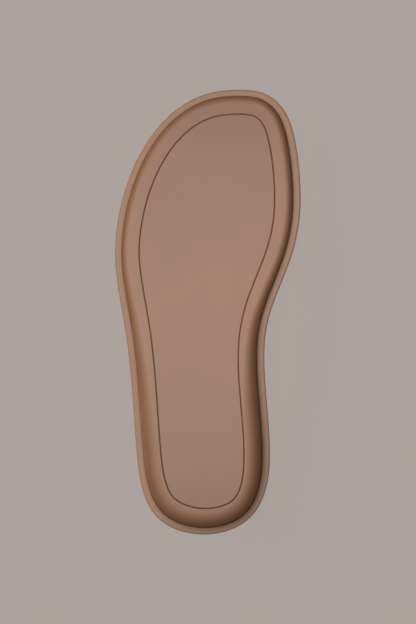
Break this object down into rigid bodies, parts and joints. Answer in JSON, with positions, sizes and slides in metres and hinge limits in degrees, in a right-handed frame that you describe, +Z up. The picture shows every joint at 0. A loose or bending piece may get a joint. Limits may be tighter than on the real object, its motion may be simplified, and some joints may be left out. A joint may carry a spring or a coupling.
{
  "type": "ankle strap sandal",
  "caption": "Right ankle strap sandal with a wedge sole, rimmed footbed, vamp band, heel counter and buckled ankle strap, lying on its medial side.",
  "frame": {"origin": "on the floor, under the middle of the shoe's bounding box as it lies on its medial side", "axes": "+X from the heel to the toe, -Y the way the tread faces, +Z up, through the lateral side"},
  "size_m": [0.2514, 0.1238, 0.1012],
  "materials": {
    "tread": "smooth matte tan, very fine texture",
    "sole_foam": "smooth matte tan skin over foam",
    "rim_cover": "smooth matte tan cover over a soft board",
    "sock_leather": "soft matte",
    "upper_leather": "satin, fine grain",
    "buckle_metal": "brushed pale gold"
  },
  "bodies": {
    "root": {"outsole": "tread", "midsole": "sole_foam", "footbed": "rim_cover", "insole": "sock_leather", "vamp_band": "upper_leather", "heel_counter": "upper_leather", "ankle_strap": "upper_leather", "strap_end": "upper_leather", "keeper_loop": "upper_leather", "buckle_frame": "buckle_metal", "buckle_prong": "buckle_metal"}
  },
  "joints": []
}
